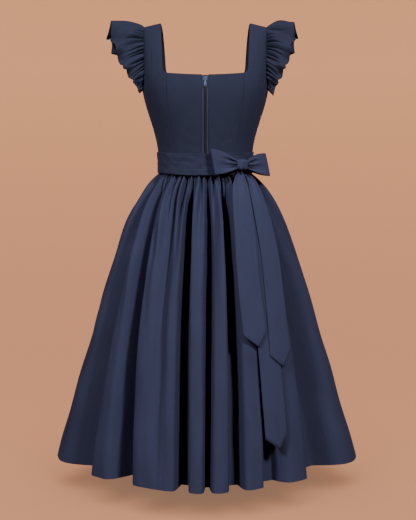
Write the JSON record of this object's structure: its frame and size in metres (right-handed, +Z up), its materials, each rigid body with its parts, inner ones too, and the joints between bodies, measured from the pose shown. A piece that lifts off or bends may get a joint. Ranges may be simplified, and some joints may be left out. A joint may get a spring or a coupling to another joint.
{
  "type": "dirndl",
  "caption": "Sleeveless dress with a square neckline, zipped bodice, ruffled armholes, tied sash and full gathered skirt, hollow and filled out as if worn.",
  "frame": {"origin": "midway between the two shoulder straps, level with the top of their inner edges, where the wearer's shoulders carry the dress", "axes": "+Z up; the front faces -Y; +X is towards the wearer's left"},
  "size_m": [0.7793, 0.5913, 1.1357],
  "materials": {
    "bodice_cotton": "matt cotton weave",
    "ruffle_cotton": "matt cotton weave, gathered",
    "skirt_cotton": "matt cotton weave with a faint sheen",
    "sash_cotton": "matt cotton weave, sewn double",
    "zip_tape": "woven tape",
    "zip_teeth": "black",
    "zip_metal": "blue-grey, satin"
  },
  "bodies": {
    "dress": {"bodice_front_centre_left": "bodice_cotton", "bodice_front_centre_right": "bodice_cotton", "bodice_front_side_left": "bodice_cotton", "bodice_front_side_right": "bodice_cotton", "bodice_back_side_left": "bodice_cotton", "bodice_back_side_right": "bodice_cotton", "bodice_back_centre": "bodice_cotton", "ruffle_left": "ruffle_cotton", "ruffle_right": "ruffle_cotton", "skirt_front": "skirt_cotton", "skirt_back": "skirt_cotton", "sash_band": "sash_cotton", "sash_knot": "sash_cotton", "bow_loop_inner": "sash_cotton", "bow_loop_outer": "sash_cotton", "sash_tail_front": "sash_cotton", "sash_tail_side": "sash_cotton", "sash_tail_long": "sash_cotton", "zip_tape_left": "zip_tape", "zip_tape_right": "zip_tape", "zip_chain": "zip_teeth", "zip_slider": "zip_metal"},
    "zip_pull": {"zip_pull": "zip_metal"}
  },
  "joints": [
    {"name": "zip_pull_swing", "type": "hinge", "parent": "dress", "child": "zip_pull", "pos_m": [0, -0.11429, -0.15825], "axis": [-1, 0, 0], "range_deg": [0, 150]}
  ]
}
